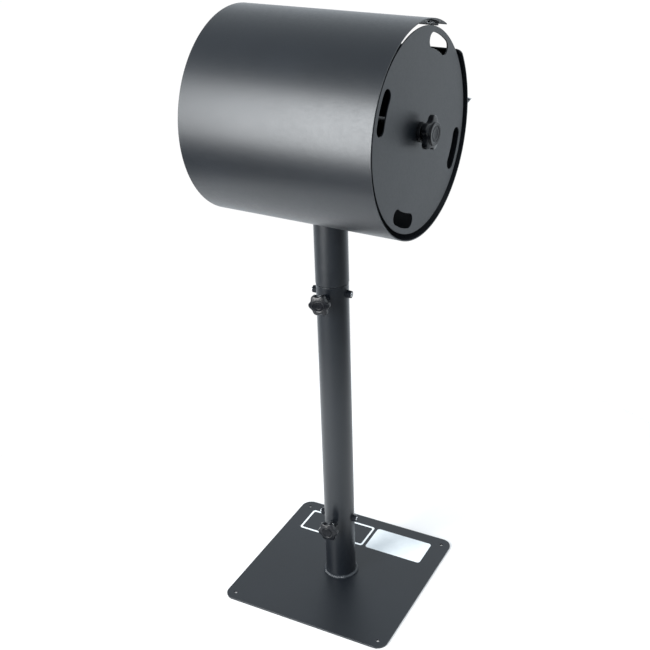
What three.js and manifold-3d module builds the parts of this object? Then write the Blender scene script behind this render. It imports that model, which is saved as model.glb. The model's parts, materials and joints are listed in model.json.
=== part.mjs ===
// A roll dispenser on a height-adjustable floor stand: a pole is welded on a square base plate, and
// a narrower tube slides and turns in the pole and carries a round sheet-steel drum.
// The drum lies along X. Its left end is a welded wall, its right end is a lift-off disc that a
// star knob clamps to the spindle, and a long window behind the top lets the roll out.
//
// Units are millimetres, +Z is up and the origin is the middle of the base plate's underside.
import * as THREE from 'three';
import { mergeVertices } from 'three/addons/utils/BufferGeometryUtils.js';
import Module from 'manifold-3d';

const wasm = await Module();
wasm.setup();

// ---- Base plate ----
const PLATE_SIDE = 300;
const PLATE_THICKNESS = 3;
const PLATE_CORNER_RADIUS = 18;
const PLATE_HOLE_INSET = 16;
const PLATE_HOLE_RADIUS = 2.75;
const BASE_TURN_DEG = 2.7; // the base stands a little turned from the drum

// ---- Blank marking field stuck on the plate: an outlined box and a filled panel beside it ----
const MARKING = { frameLeft: -122, frameRight: 6, panelLeft: 12, panelRight: 118, bottom: 70, top: 127 };
const MARKING_LINE = 3.5;
const MARKING_CORNER_RADIUS = 5;
const MARKING_THICKNESS = 0.15;

// ---- Tubes of the stand ----
const POLE_OUTER_RADIUS = 25.4;
const POLE_INNER_RADIUS = 23;
const POLE_TOP = 555.5;
const INNER_TUBE_OUTER_RADIUS = 22.7;
const INNER_TUBE_INNER_RADIUS = 20.7;
const INNER_TUBE_BOTTOM = 96;
const INNER_TUBE_TOP = 640;
const NECK_OUTER_RADIUS = 25.9;
const NECK_GAP = 1.2; // open joint between the pole's rim and the neck
const WELD_SIZE = 4.4;
const FIT_GAP = 0.3; // clearance where one piece sits in or on another
const TUBE_SEGMENTS = 48;

// ---- Clamp hardware: one knob and two set screws at each end of the pole ----
const LOWER_CLAMP_HEIGHT = 119;
const UPPER_CLAMP_HEIGHT = 539.5;
const KNOB_ANGLE_DEG = -82.6;
const SET_SCREW_ANGLES_DEG = { right: 5, left: -171 };
const NUT_ACROSS_FLATS = 11;
const NUT_HEIGHT = 6.5;
const STUD_RADIUS = 3;
const STUD_HOLE_RADIUS = 3.35;
const SET_SCREW_STANDOUTS = { right: 7, left: 9 };
const SET_SCREW_KEY_RADIUS = 1.7;
const SET_SCREW_KEY_DEPTH = 2.5;

// ---- Drum ----
const DRUM_AXIS_HEIGHT = 809;
const DRUM_LENGTH = 300;
const DRUM_OUTER_RADIUS = 149.5;
const SHELL_THICKNESS = 1.5;
const WINDOW_REAR_DEG = 35.2; // window edges, counted from +Y towards +Z about the drum's axis
const WINDOW_TOP_DEG = 61.4;
const WINDOW_CORNER_RADIUS = 9;
const SHELL_SEGMENTS = 84;
const END_WALL_THICKNESS = 2;
const LIP_OVERHANG_DEG = 1;
const LIP_WIDTH_DEG = 13;
const LIP_END_SETBACK = 12;
const LIP_THICKNESS = 1.5;
const LIP_RIVET_DEG = 67;
const LIP_RIVET_XS = [-118, 0, 131];
const RIVET_HEAD_RADIUS = 3.5;
const RIVET_HEAD_HEIGHT = 1.2;

// ---- Tear bar behind the drum: a flange with a folded edge that stands out ----
const TEAR_BAR_THICKNESS = 1;
const TEAR_BAR_END_SETBACK = 0.5;
const TEAR_FLANGE_BOTTOM = -13;
const TEAR_FOLD_BOTTOM = 1.5;
const TEAR_FOLD_TOP = 11.4;
const TEAR_TIP_HEIGHT = 5.5;
const TEAR_TIP_STANDOUT = 16;
const TEAR_RIVET_XS = [-125, 0, 125];
const TEAR_RIVET_HEIGHT = -6.5;

// ---- Spindle, end disc and its knob ----
const SPINDLE_RADIUS = 14;
const SPINDLE_BORE_RADIUS = 12;
const SPINDLE_FLANGE_RADIUS = 35;
const SPINDLE_FLANGE_THICKNESS = 4;
const INSERT_LENGTH = 24;
const END_STUD_RADIUS = 4;
const DISC_RADIUS = 140;
const DISC_THICKNESS = 2;
const DISC_SETBACK = 3;
const DISC_BORE_RADIUS = 8.4;
const DISC_SEGMENTS = 96;
const SLOT_COUNT = 4;
const SLOT_FIRST_DEG = 63.4;
const SLOT_MID_RADIUS = 121.5;
const SLOT_WIDTH = 21;
const SLOT_SPAN_DEG = 29;
const BUSH_FLANGE_RADIUS = 14;
const BUSH_FLANGE_THICKNESS = 4.5;
const BUSH_SLEEVE_RADIUS = 8;

// ---- Star knobs ----
const POLE_KNOB = {
  lobes: 6, radius: 17.5, lobeDepth: 3.1, lobeAngleDeg: 8, hubRadius: 8, hubLength: 5.5, headThickness: 9,
  bevel: 1.8, ringRadius: 10.5, capRadius: 8, ringHeight: 0.9, capHeight: 1.2, studRadius: STUD_RADIUS,
};
const END_KNOB = {
  lobes: 5, radius: 25, lobeDepth: 6.4, lobeAngleDeg: 2, hubRadius: 11, hubLength: 5.8, headThickness: 9,
  bevel: 2.4, ringRadius: 16.5, capRadius: 10.8, ringHeight: 2.6, capHeight: 2.7, studRadius: END_STUD_RADIUS,
};
const KNOB_STANDOFFS = { lower: 15, upper: 16.5 }; // from the pole's wall to the knob's hub
const STUD_INTO_KNOB = 10;
const KNOB_STEPS_PER_LOBE = 9;
const KNOB_SCALLOP_POWER = 1.3; // higher makes the hollows between the lobes narrower

// ---- Derived ----
const DRUM_INNER_RADIUS = DRUM_OUTER_RADIUS - SHELL_THICKNESS;
const HALF_DRUM = DRUM_LENGTH / 2;
const DISC_FACE_X = HALF_DRUM - DISC_SETBACK;
const SPINDLE_END_X = DISC_FACE_X - DISC_THICKNESS - FIT_GAP;
const WALL_INNER_X = -HALF_DRUM + END_WALL_THICKNESS;

const COLOURS = {
  coat: { color: 0x3c4046, roughness: 0.42, metalness: 0.35 },
  weld: { color: 0x4a4d52, roughness: 0.55, metalness: 0.4 },
  marking: { color: 0xe4e6e8, roughness: 0.5, metalness: 0 },
  plastic: { color: 0x1b1c1f, roughness: 0.45, metalness: 0 },
  zinc: { color: 0xb9bcc0, roughness: 0.3, metalness: 0.9 },
  stainless: { color: 0xc9ccd0, roughness: 0.28, metalness: 0.9 },
};

const radians = THREE.MathUtils.degToRad;

// ---- Solids ----
function toSolid(geometry) {
  const bare = geometry.clone();
  bare.deleteAttribute('normal');
  bare.deleteAttribute('uv');
  const merged = mergeVertices(bare, 1e-4);
  return new wasm.Manifold(new wasm.Mesh({
    numProp: 3,
    vertProperties: new Float32Array(merged.attributes.position.array),
    triVerts: new Uint32Array(merged.index.array),
  }));
}

function toGeometry(solid) {
  const mesh = solid.getMesh();
  const geometry = new THREE.BufferGeometry();
  geometry.setAttribute('position', new THREE.BufferAttribute(mesh.vertProperties, 3));
  geometry.setIndex(new THREE.BufferAttribute(mesh.triVerts, 1));
  geometry.computeVertexNormals();
  return geometry;
}

function cut(geometry, tools) {
  return toGeometry(tools.reduce((solid, tool) => solid.subtract(toSolid(tool)), toSolid(geometry)));
}

function join(geometries) {
  const [first, ...others] = geometries.map(toSolid);
  return toGeometry(others.reduce((solid, other) => solid.add(other), first));
}

// A turned shape about Z. The profile is [radius, height] points, with the outside going up.
function turned(profile, segments = TUBE_SEGMENTS) {
  const points = profile.map(([radius, height]) => new THREE.Vector2(radius, height));
  return new THREE.LatheGeometry(points, segments).rotateX(Math.PI / 2);
}

function tube(outer, inner, bottom, top, segments = TUBE_SEGMENTS) {
  return turned([[inner, bottom], [outer, bottom], [outer, top], [inner, top], [inner, bottom]], segments);
}

function rod(radius, bottom, top, segments = TUBE_SEGMENTS) {
  return turned([[0, bottom], [radius, bottom], [radius, top], [0, top]], segments);
}

// Lays a shape built along +Z down along +X. Its own +X becomes +Y and its own +Y becomes +Z.
function alongX(geometry) {
  const turn = new THREE.Matrix4().makeBasis(
    new THREE.Vector3(0, 1, 0),
    new THREE.Vector3(0, 0, 1),
    new THREE.Vector3(1, 0, 0),
  );
  return geometry.applyMatrix4(turn);
}

function extruded(shape, bottom, top, curveSegments = 12) {
  const options = { depth: top - bottom, bevelEnabled: false, curveSegments };
  return new THREE.ExtrudeGeometry(shape, options).translate(0, 0, bottom);
}

function mesh(name, geometry, look) {
  const item = new THREE.Mesh(geometry, new THREE.MeshStandardMaterial(COLOURS[look]));
  item.name = name;
  return item;
}

// ---- Base plate ----
function roundedBox(left, right, bottom, top, radius, outline = new THREE.Shape()) {
  outline.absarc(right - radius, top - radius, radius, 0, Math.PI / 2);
  outline.absarc(left + radius, top - radius, radius, Math.PI / 2, Math.PI);
  outline.absarc(left + radius, bottom + radius, radius, Math.PI, 1.5 * Math.PI);
  outline.absarc(right - radius, bottom + radius, radius, 1.5 * Math.PI, 2 * Math.PI);
  outline.closePath();
  return outline;
}

function basePlate() {
  const half = PLATE_SIDE / 2;
  const shape = roundedBox(-half, half, -half, half, PLATE_CORNER_RADIUS);
  const reach = half - PLATE_HOLE_INSET;
  for (const [x, y] of [[reach, reach], [-reach, reach], [-reach, -reach], [reach, -reach]]) {
    shape.holes.push(new THREE.Path().absarc(x, y, PLATE_HOLE_RADIUS, 0, 2 * Math.PI, true));
  }
  return mesh('base_plate', extruded(shape, 0, PLATE_THICKNESS, 8), 'coat');
}

function markings() {
  const { frameLeft, frameRight, panelLeft, panelRight, bottom, top } = MARKING;
  const line = MARKING_LINE;
  const frame = roundedBox(frameLeft, frameRight, bottom, top, MARKING_CORNER_RADIUS);
  const inside = roundedBox(frameLeft + line, frameRight - line, bottom + line, top - line,
    MARKING_CORNER_RADIUS - line / 2, new THREE.Path());
  frame.holes.push(inside);
  const panel = roundedBox(panelLeft, panelRight, bottom, top, MARKING_CORNER_RADIUS);
  const foot = PLATE_THICKNESS + 0.02;
  return [
    mesh('marking_frame', extruded(frame, foot, foot + MARKING_THICKNESS, 4), 'marking'),
    mesh('marking_panel', extruded(panel, foot, foot + MARKING_THICKNESS, 4), 'marking'),
  ];
}

// The bead at the pole's foot, a little uneven round its outside
function footWeld() {
  const inner = POLE_OUTER_RADIUS + 0.05;
  const bottom = PLATE_THICKNESS + 0.05;
  const profile = [0, 30, 60, 90].map((deg) => {
    const swell = WELD_SIZE * (1 + 0.1 * Math.sin(radians(2 * deg)));
    return [inner + swell * Math.cos(radians(deg)), bottom + swell * Math.sin(radians(deg))];
  });
  profile.unshift([inner, bottom]);
  profile.push([inner, bottom]);
  const geometry = turned(profile, TUBE_SEGMENTS);
  const position = geometry.attributes.position;
  const point = new THREE.Vector3();
  for (let i = 0; i < position.count; i += 1) {
    point.fromBufferAttribute(position, i);
    const radius = Math.hypot(point.x, point.y);
    const angle = Math.atan2(point.y, point.x);
    const ripple = 1 + 0.1 * Math.sin(12 * angle) + 0.08 * Math.sin(5 * angle + 1);
    const swollen = inner + (radius - inner) * ripple;
    const rise = bottom + (point.z - bottom) * ripple;
    position.setXYZ(i, (point.x * swollen) / radius, (point.y * swollen) / radius, rise);
  }
  return mesh('foot_weld', geometry, 'weld');
}

// ---- Clamp hardware. Each piece is built along +X and turned to its own angle ----
function turnTo(item, angleDeg, height) {
  item.rotation.z = radians(angleDeg);
  item.position.z = height;
  return item;
}

function radialBore(radius, from, to) {
  return alongX(rod(radius, from, to, 16));
}

function clampHoles(height, from, to) {
  const angles = [KNOB_ANGLE_DEG, SET_SCREW_ANGLES_DEG.right, SET_SCREW_ANGLES_DEG.left];
  return angles.map((angle) => radialBore(STUD_HOLE_RADIUS, from, to)
    .rotateZ(radians(angle))
    .translate(0, 0, height));
}

function weldNut(name, angleDeg, height) {
  const corner = NUT_ACROSS_FLATS / Math.sqrt(3);
  const body = new THREE.CylinderGeometry(corner, corner, NUT_HEIGHT + 1, 6)
    .rotateZ(-Math.PI / 2)
    .translate(POLE_OUTER_RADIUS + (NUT_HEIGHT - 1) / 2, 0, 0);
  const wall = rod(POLE_OUTER_RADIUS + 0.05, -NUT_ACROSS_FLATS, NUT_ACROSS_FLATS);
  const bore = radialBore(STUD_HOLE_RADIUS, POLE_OUTER_RADIUS - 2, POLE_OUTER_RADIUS + NUT_HEIGHT + 2);
  return turnTo(mesh(name, cut(body, [wall, bore]), 'coat'), angleDeg, height);
}

function setScrew(name, tip, end, angleDeg, height) {
  const chamfer = 0.6;
  const profile = [[0, tip], [STUD_RADIUS - 1, tip], [STUD_RADIUS, tip + 1], [STUD_RADIUS, end - chamfer]];
  profile.push([STUD_RADIUS - chamfer, end], [0, end]);
  const body = alongX(turned(profile, 16));
  const keyRadius = SET_SCREW_KEY_RADIUS;
  const key = new THREE.CylinderGeometry(keyRadius, keyRadius, 2 * SET_SCREW_KEY_DEPTH, 6)
    .rotateZ(-Math.PI / 2)
    .translate(end, 0, 0);
  return turnTo(mesh(name, cut(body, [key]), 'zinc'), angleDeg, height);
}

// ---- Star knobs, built along +Z from the underside of the hub ----
function starOutline(knob) {
  const steps = knob.lobes * KNOB_STEPS_PER_LOBE;
  const points = [];
  for (let i = 0; i < steps; i += 1) {
    const angle = (i / steps) * 2 * Math.PI;
    const fromLobe = angle - radians(knob.lobeAngleDeg);
    const dip = (0.5 - 0.5 * Math.cos(knob.lobes * fromLobe)) ** KNOB_SCALLOP_POWER;
    const radius = knob.radius - knob.bevel - knob.lobeDepth * dip;
    points.push(new THREE.Vector2(radius * Math.cos(angle), radius * Math.sin(angle)));
  }
  return new THREE.Shape(points);
}

function starKnob(knob) {
  const headTop = knob.hubLength + knob.headThickness;
  const head = new THREE.ExtrudeGeometry(starOutline(knob), {
    depth: knob.headThickness - 2 * knob.bevel,
    bevelThickness: knob.bevel,
    bevelSize: knob.bevel,
    bevelSegments: 2,
  }).translate(0, 0, knob.hubLength + knob.bevel);
  const hub = rod(knob.hubRadius, 0, knob.hubLength + 1, 24);
  const ringTop = headTop + knob.ringHeight;
  const ring = rod(knob.ringRadius, headTop - 1, ringTop, 32);
  const seat = rod(knob.capRadius + 0.2, headTop - 0.6, ringTop + 1, 24);
  const studSeat = rod(knob.studRadius + 0.2, -1, STUD_INTO_KNOB + 0.3, 16);
  return cut(join([head, hub, ring]), [seat, studSeat]);
}

function knobCap(knob) {
  const bottom = knob.hubLength + knob.headThickness - 0.55;
  const top = bottom + knob.capHeight;
  return turned([[0, bottom], [knob.capRadius, bottom], [knob.capRadius, top - 0.4],
    [knob.capRadius - 0.8, top], [0, top]], 24);
}

// A clamp knob on its stud, pointing out along its own +X
function clampKnob(prefix, tip, height) {
  const seat = POLE_OUTER_RADIUS + KNOB_STANDOFFS[prefix];
  const place = (geometry) => alongX(geometry.translate(0, 0, seat));
  return [
    mesh(`${prefix}_knob`, place(starKnob(POLE_KNOB)), 'plastic'),
    mesh(`${prefix}_knob_cap`, place(knobCap(POLE_KNOB)), 'plastic'),
    mesh(`${prefix}_stud`, alongX(rod(STUD_RADIUS, tip, seat + STUD_INTO_KNOB, 16)), 'zinc'),
  ].map((item) => turnTo(item, KNOB_ANGLE_DEG, height));
}

// The nuts, set screws and knob at one end of the pole. All screws press on the inner tube.
function clampSet(prefix, height) {
  const tip = INNER_TUBE_OUTER_RADIUS + FIT_GAP;
  const items = [weldNut(`${prefix}_nut_front`, KNOB_ANGLE_DEG, height)];
  for (const [side, angle] of Object.entries(SET_SCREW_ANGLES_DEG)) {
    items.push(weldNut(`${prefix}_nut_${side}`, angle, height));
    const end = POLE_OUTER_RADIUS + SET_SCREW_STANDOUTS[side];
    items.push(setScrew(`${prefix}_set_screw_${side}`, tip, end, angle, height));
  }
  return [...items, ...clampKnob(prefix, tip, height)];
}

// ---- Stand ----
function standGroup() {
  const wall = tube(POLE_OUTER_RADIUS, POLE_INNER_RADIUS, PLATE_THICKNESS, POLE_TOP);
  const holes = [LOWER_CLAMP_HEIGHT, UPPER_CLAMP_HEIGHT]
    .flatMap((height) => clampHoles(height, POLE_INNER_RADIUS - 2, POLE_OUTER_RADIUS + 2));
  const group = new THREE.Group();
  group.add(mesh('pole_tube', cut(wall, holes), 'coat'), footWeld());
  group.add(...clampSet('lower', LOWER_CLAMP_HEIGHT), ...clampSet('upper', UPPER_CLAMP_HEIGHT));
  const floorPieces = new THREE.Group();
  floorPieces.rotation.z = radians(BASE_TURN_DEG);
  floorPieces.add(basePlate(), ...markings());
  group.add(floorPieces);
  return group;
}

// The neck starts just above the pole's rim and its top is cut to the round of the drum
function neckTube() {
  const top = DRUM_AXIS_HEIGHT - DRUM_OUTER_RADIUS * 0.9;
  const wall = tube(NECK_OUTER_RADIUS, POLE_INNER_RADIUS, POLE_TOP + NECK_GAP, top);
  const drum = alongX(rod(DRUM_OUTER_RADIUS + FIT_GAP, -HALF_DRUM, HALF_DRUM, SHELL_SEGMENTS))
    .translate(0, 0, DRUM_AXIS_HEIGHT);
  return mesh('neck_tube', cut(wall, [drum]), 'coat');
}

function innerTube() {
  const wall = tube(INNER_TUBE_OUTER_RADIUS, INNER_TUBE_INNER_RADIUS, INNER_TUBE_BOTTOM, INNER_TUBE_TOP);
  return mesh('inner_tube', wall, 'coat');
}

// ---- Drum pieces, about the drum's own axis along X ----
function arcBand(outer, inner, fromDeg, toDeg) {
  const shape = new THREE.Shape();
  shape.absarc(0, 0, outer, radians(fromDeg), radians(toDeg));
  shape.absarc(0, 0, inner, radians(toDeg), radians(fromDeg), true);
  shape.closePath();
  return shape;
}

// What is taken off one rear corner of the window, to round it. Side is 1 at the right end, -1 at the left.
function cornerCutter(side) {
  const radius = WINDOW_CORNER_RADIUS;
  const shape = new THREE.Shape();
  shape.moveTo(side * (HALF_DRUM + 1), radius);
  shape.lineTo(side * (HALF_DRUM + 1), -1);
  shape.lineTo(side * (HALF_DRUM - radius), -1);
  shape.lineTo(side * (HALF_DRUM - radius), 0);
  const endAngle = side > 0 ? 2 * Math.PI : Math.PI;
  shape.absarc(side * (HALF_DRUM - radius), radius, radius, 1.5 * Math.PI, endAngle, side < 0);
  shape.closePath();
  const standing = new THREE.Matrix4().makeBasis(
    new THREE.Vector3(1, 0, 0),
    new THREE.Vector3(0, 0, -1),
    new THREE.Vector3(0, 1, 0),
  );
  return extruded(shape, DRUM_INNER_RADIUS - 3, DRUM_OUTER_RADIUS + 3, 5)
    .applyMatrix4(standing)
    .rotateX(radians(WINDOW_REAR_DEG));
}

function drumShell() {
  const band = arcBand(DRUM_OUTER_RADIUS, DRUM_INNER_RADIUS, WINDOW_TOP_DEG, 360 + WINDOW_REAR_DEG);
  const sheet = alongX(extruded(band, -HALF_DRUM, HALF_DRUM, SHELL_SEGMENTS));
  return mesh('drum_shell', cut(sheet, [cornerCutter(1), cornerCutter(-1)]), 'coat');
}

function drumEndWall() {
  const wall = rod(DRUM_INNER_RADIUS - FIT_GAP, -HALF_DRUM, WALL_INNER_X, DISC_SEGMENTS);
  return mesh('drum_end_wall', alongX(wall), 'coat');
}

function lipStrip() {
  const outer = DRUM_INNER_RADIUS - FIT_GAP;
  const from = WINDOW_TOP_DEG - LIP_OVERHANG_DEG;
  const band = arcBand(outer, outer - LIP_THICKNESS, from, from + LIP_WIDTH_DEG);
  const reach = HALF_DRUM - LIP_END_SETBACK;
  return mesh('lip_strip', alongX(extruded(band, -reach, reach, 5)), 'coat');
}

// Domed rivet heads lie on the outermost sheet, built along +X from the drum's axis
function rivetHead(name, face, look) {
  const top = face + RIVET_HEAD_HEIGHT;
  const profile = [[0, face], [RIVET_HEAD_RADIUS, face]];
  profile.push([RIVET_HEAD_RADIUS * 0.8, top - RIVET_HEAD_HEIGHT * 0.3]);
  profile.push([RIVET_HEAD_RADIUS * 0.35, top], [0, top]);
  return mesh(name, turned(profile, 12), look);
}

function lipRivets() {
  const face = -(DRUM_INNER_RADIUS - FIT_GAP - LIP_THICKNESS - 0.1);
  return LIP_RIVET_XS.map((x, index) => {
    const item = rivetHead(`lip_rivet_${index + 1}`, face, 'zinc');
    item.rotation.x = radians(LIP_RIVET_DEG + 90);
    item.position.x = x;
    return item;
  });
}

function tearBar() {
  const foot = DRUM_OUTER_RADIUS + FIT_GAP;
  const outside = foot + TEAR_BAR_THICKNESS;
  const shape = new THREE.Shape();
  shape.moveTo(foot, TEAR_FLANGE_BOTTOM);
  shape.lineTo(outside, TEAR_FLANGE_BOTTOM);
  shape.lineTo(outside, TEAR_FOLD_BOTTOM);
  shape.lineTo(DRUM_OUTER_RADIUS + TEAR_TIP_STANDOUT, TEAR_TIP_HEIGHT);
  shape.lineTo(foot, TEAR_FOLD_TOP);
  shape.lineTo(foot, TEAR_FOLD_TOP - 1.3 * TEAR_BAR_THICKNESS);
  shape.lineTo(DRUM_OUTER_RADIUS + TEAR_TIP_STANDOUT - 2.6 * TEAR_BAR_THICKNESS, TEAR_TIP_HEIGHT);
  shape.lineTo(foot, TEAR_FOLD_BOTTOM + 0.9 * TEAR_BAR_THICKNESS);
  shape.closePath();
  const reach = HALF_DRUM - TEAR_BAR_END_SETBACK;
  return mesh('tear_bar', alongX(extruded(shape, -reach, reach)), 'stainless');
}

function tearRivets() {
  const face = DRUM_OUTER_RADIUS + FIT_GAP + TEAR_BAR_THICKNESS + 0.05;
  return TEAR_RIVET_XS.map((x, index) => {
    const item = rivetHead(`tear_rivet_${index + 1}`, face, 'zinc');
    item.rotation.x = -Math.PI / 2;
    item.position.set(x, 0, TEAR_RIVET_HEIGHT);
    return item;
  });
}

function spindle() {
  const flangeTop = WALL_INNER_X + SPINDLE_FLANGE_THICKNESS;
  const insertFoot = SPINDLE_END_X - INSERT_LENGTH;
  const pin = tube(SPINDLE_RADIUS, SPINDLE_BORE_RADIUS, flangeTop + 0.05, SPINDLE_END_X, 32);
  const insert = tube(SPINDLE_BORE_RADIUS - 0.05, END_STUD_RADIUS + 0.35, insertFoot, SPINDLE_END_X, 32);
  return [
    mesh('spindle_flange', alongX(rod(SPINDLE_FLANGE_RADIUS, WALL_INNER_X + 0.05, flangeTop, 48)), 'coat'),
    mesh('spindle_tube', alongX(pin), 'coat'),
    mesh('spindle_insert', alongX(insert), 'zinc'),
  ];
}

// ---- End disc with finger slots ----
function slotShape(angleDeg) {
  const half = SLOT_WIDTH / 2;
  const middle = radians(angleDeg);
  const sweep = radians(SLOT_SPAN_DEG / 2) - half / SLOT_MID_RADIUS;
  const path = new THREE.Path();
  const from = middle - sweep;
  const to = middle + sweep;
  const at = (angle) => [SLOT_MID_RADIUS * Math.cos(angle), SLOT_MID_RADIUS * Math.sin(angle)];
  path.absarc(0, 0, SLOT_MID_RADIUS + half, from, to);
  path.absarc(...at(to), half, to, to + Math.PI);
  path.absarc(0, 0, SLOT_MID_RADIUS - half, to, from, true);
  path.absarc(...at(from), half, from + Math.PI, from + 2 * Math.PI);
  path.closePath();
  return new THREE.Shape(path.getPoints(6));
}

function endDisc() {
  const plate = rod(DISC_RADIUS, DISC_FACE_X - DISC_THICKNESS, DISC_FACE_X, DISC_SEGMENTS);
  const below = DISC_FACE_X - DISC_THICKNESS - 1;
  const above = DISC_FACE_X + 1;
  const tools = [rod(DISC_BORE_RADIUS, below, above, 32)];
  for (let i = 0; i < SLOT_COUNT; i += 1) {
    tools.push(extruded(slotShape(SLOT_FIRST_DEG + (i * 360) / SLOT_COUNT), below, above));
  }
  return mesh('end_disc', alongX(cut(plate, tools)), 'coat');
}

// The bush passes through the disc, so that the disc can turn on it, and the knob presses on it
function discBush() {
  const bore = END_STUD_RADIUS + 0.35;
  const foot = DISC_FACE_X - DISC_THICKNESS;
  const face = DISC_FACE_X + FIT_GAP;
  const top = face + BUSH_FLANGE_THICKNESS;
  const profile = [[bore, foot], [BUSH_SLEEVE_RADIUS, foot], [BUSH_SLEEVE_RADIUS, face]];
  profile.push([BUSH_FLANGE_RADIUS, face], [BUSH_FLANGE_RADIUS, top - 0.6], [BUSH_FLANGE_RADIUS - 0.6, top]);
  profile.push([bore, top], [bore, foot]);
  return mesh('disc_bush', alongX(turned(profile, 32)), 'plastic');
}

function endKnob() {
  const seat = DISC_FACE_X + FIT_GAP + BUSH_FLANGE_THICKNESS + FIT_GAP;
  const stud = rod(END_STUD_RADIUS, SPINDLE_END_X - INSERT_LENGTH + 2, seat + STUD_INTO_KNOB, 16);
  return [
    mesh('end_knob', alongX(starKnob(END_KNOB).translate(0, 0, seat)), 'plastic'),
    mesh('end_knob_cap', alongX(knobCap(END_KNOB).translate(0, 0, seat)), 'plastic'),
    mesh('end_stud', alongX(stud), 'zinc'),
  ];
}

function drumGroup() {
  const group = new THREE.Group();
  group.position.z = DRUM_AXIS_HEIGHT;
  group.add(drumShell(), drumEndWall(), lipStrip(), ...lipRivets(), tearBar(), ...tearRivets(), ...spindle());
  group.add(endDisc(), discBush(), ...endKnob());
  return group;
}

const part = new THREE.Group();
part.add(standGroup(), neckTube(), innerTube(), drumGroup());

export default part;
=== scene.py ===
"""Looks for a roll dispenser on a height-adjustable floor stand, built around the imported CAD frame.

Every visible CAD node is replaced by a finer mesh of the same size: rounded sheet edges, threads,
chamfered nuts, star knobs and weld beads. Shapes are built in millimetres and stored in metres.
"""

import json
from math import atan2, cos, hypot, pi, radians, sin, sqrt, tan

import bpy
import bmesh
from mathutils import Matrix, Vector


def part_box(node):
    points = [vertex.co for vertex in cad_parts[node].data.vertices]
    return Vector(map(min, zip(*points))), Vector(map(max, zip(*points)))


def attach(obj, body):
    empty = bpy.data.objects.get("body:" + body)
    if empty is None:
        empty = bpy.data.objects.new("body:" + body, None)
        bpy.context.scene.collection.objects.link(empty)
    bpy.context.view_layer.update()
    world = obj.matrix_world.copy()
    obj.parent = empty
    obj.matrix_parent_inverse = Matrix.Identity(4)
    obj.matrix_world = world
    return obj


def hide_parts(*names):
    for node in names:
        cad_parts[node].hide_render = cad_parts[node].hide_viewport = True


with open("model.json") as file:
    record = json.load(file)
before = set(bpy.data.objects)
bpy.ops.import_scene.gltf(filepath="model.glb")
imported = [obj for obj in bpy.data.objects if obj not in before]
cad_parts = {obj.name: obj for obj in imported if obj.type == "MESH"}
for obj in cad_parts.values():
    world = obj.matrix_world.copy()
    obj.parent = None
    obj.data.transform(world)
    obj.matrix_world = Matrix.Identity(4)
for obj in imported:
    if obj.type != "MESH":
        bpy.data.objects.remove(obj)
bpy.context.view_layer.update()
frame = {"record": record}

MM = 0.001
BODY_OF = {node: body for body, nodes in frame["record"]["behaviour"]["bodies"].items() for node in nodes}
SLOT_OF = {row["node"]: row["material_slot"] for row in frame["record"]["subparts"]}


def span(node, axis):
    """Lowest and highest coordinate of a CAD node along x, y or z, in millimetres."""
    low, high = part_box(node)
    index = "xyz".index(axis)
    return low[index] / MM, high[index] / MM


def half_size(node, axis):
    """Half a CAD node's size along an axis, which is the radius of a round one."""
    low, high = span(node, axis)
    return (high - low) / 2


def middle_of(node, axis):
    """The middle of a CAD node along an axis."""
    return sum(span(node, axis)) / 2


# ---- Sizes that the frame gives ----
DRUM_LEFT, DRUM_RIGHT = span("drum_shell", "x")
DRUM_RADIUS = half_size("drum_shell", "y")
DRUM_AXIS = span("drum_shell", "z")[0] + DRUM_RADIUS
DISC_FACE = span("end_disc", "x")[1]
DISC_RADIUS = half_size("end_disc", "y")
PLATE_TOP = span("base_plate", "z")[1]
LOWER_CLAMP = middle_of("lower_set_screw_right", "z")
UPPER_CLAMP = middle_of("upper_set_screw_right", "z")

# ---- Sizes that repeat the CAD's own, in millimetres. Tube radii are (outer, inner) ----
FIT_GAP = 0.3
BASE_TURN = radians(2.7)
PLATE_SIDE = 300
PLATE_CORNER = 18
PLATE_HOLE_INSET = 16
PLATE_HOLE_RADIUS = 2.75
MARKING_FRAME = (-122, 6)
MARKING_PANEL = (12, 118)
MARKING_RISE = (70, 127)
MARKING_CORNER = 5
MARKING_LINE = 3.5
POLE_RADII = (25.4, 23)
INNER_TUBE_RADII = (22.7, 20.7)
NECK_RADII = (25.9, 23)
WELD_SIZE = 4.4
WELD_GAP = 0.02
KNOB_ANGLE = radians(-82.6)
KNOB_STANDOFFS = {"lower": 15, "upper": 16.5}
SCREW_ANGLES = {"right": radians(5), "left": radians(-171)}
SCREW_STANDOUTS = {"right": 7, "left": 9}
SCREW_TIP = INNER_TUBE_RADII[0] + FIT_GAP
SCREW_KEY_DEPTH = 2.5
NUT_FLATS = 11
NUT_HEIGHT = 6.5
STUD_RADIUS = 3
STUD_INTO_KNOB = 10
SHEET = 1.5
WINDOW_REAR = radians(35.2)
WINDOW_TOP = radians(61.4)
WINDOW_CORNER = 9
LIP_OVERHANG = radians(1)
LIP_WIDTH = radians(13)
LIP_RIVET_ANGLE = radians(67)
TEAR_THICKNESS = 1
TEAR_FOLD_LOW = 1.5
TEAR_TIP_HEIGHT = 5.5
SPINDLE_RADII = (14, 12)
INSERT_RADII = (11.95, 4.35)
END_STUD_RADIUS = 4
DISC_BORE_RADIUS = 8.4
SLOT_FIRST = radians(63.4)
SLOT_MIDDLE_RADIUS = 121.5
SLOT_WIDTH = 21
SLOT_SPAN = radians(29)
BUSH_BORE, BUSH_SLEEVE, BUSH_FLANGE = 4.35, 8, 14

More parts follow.
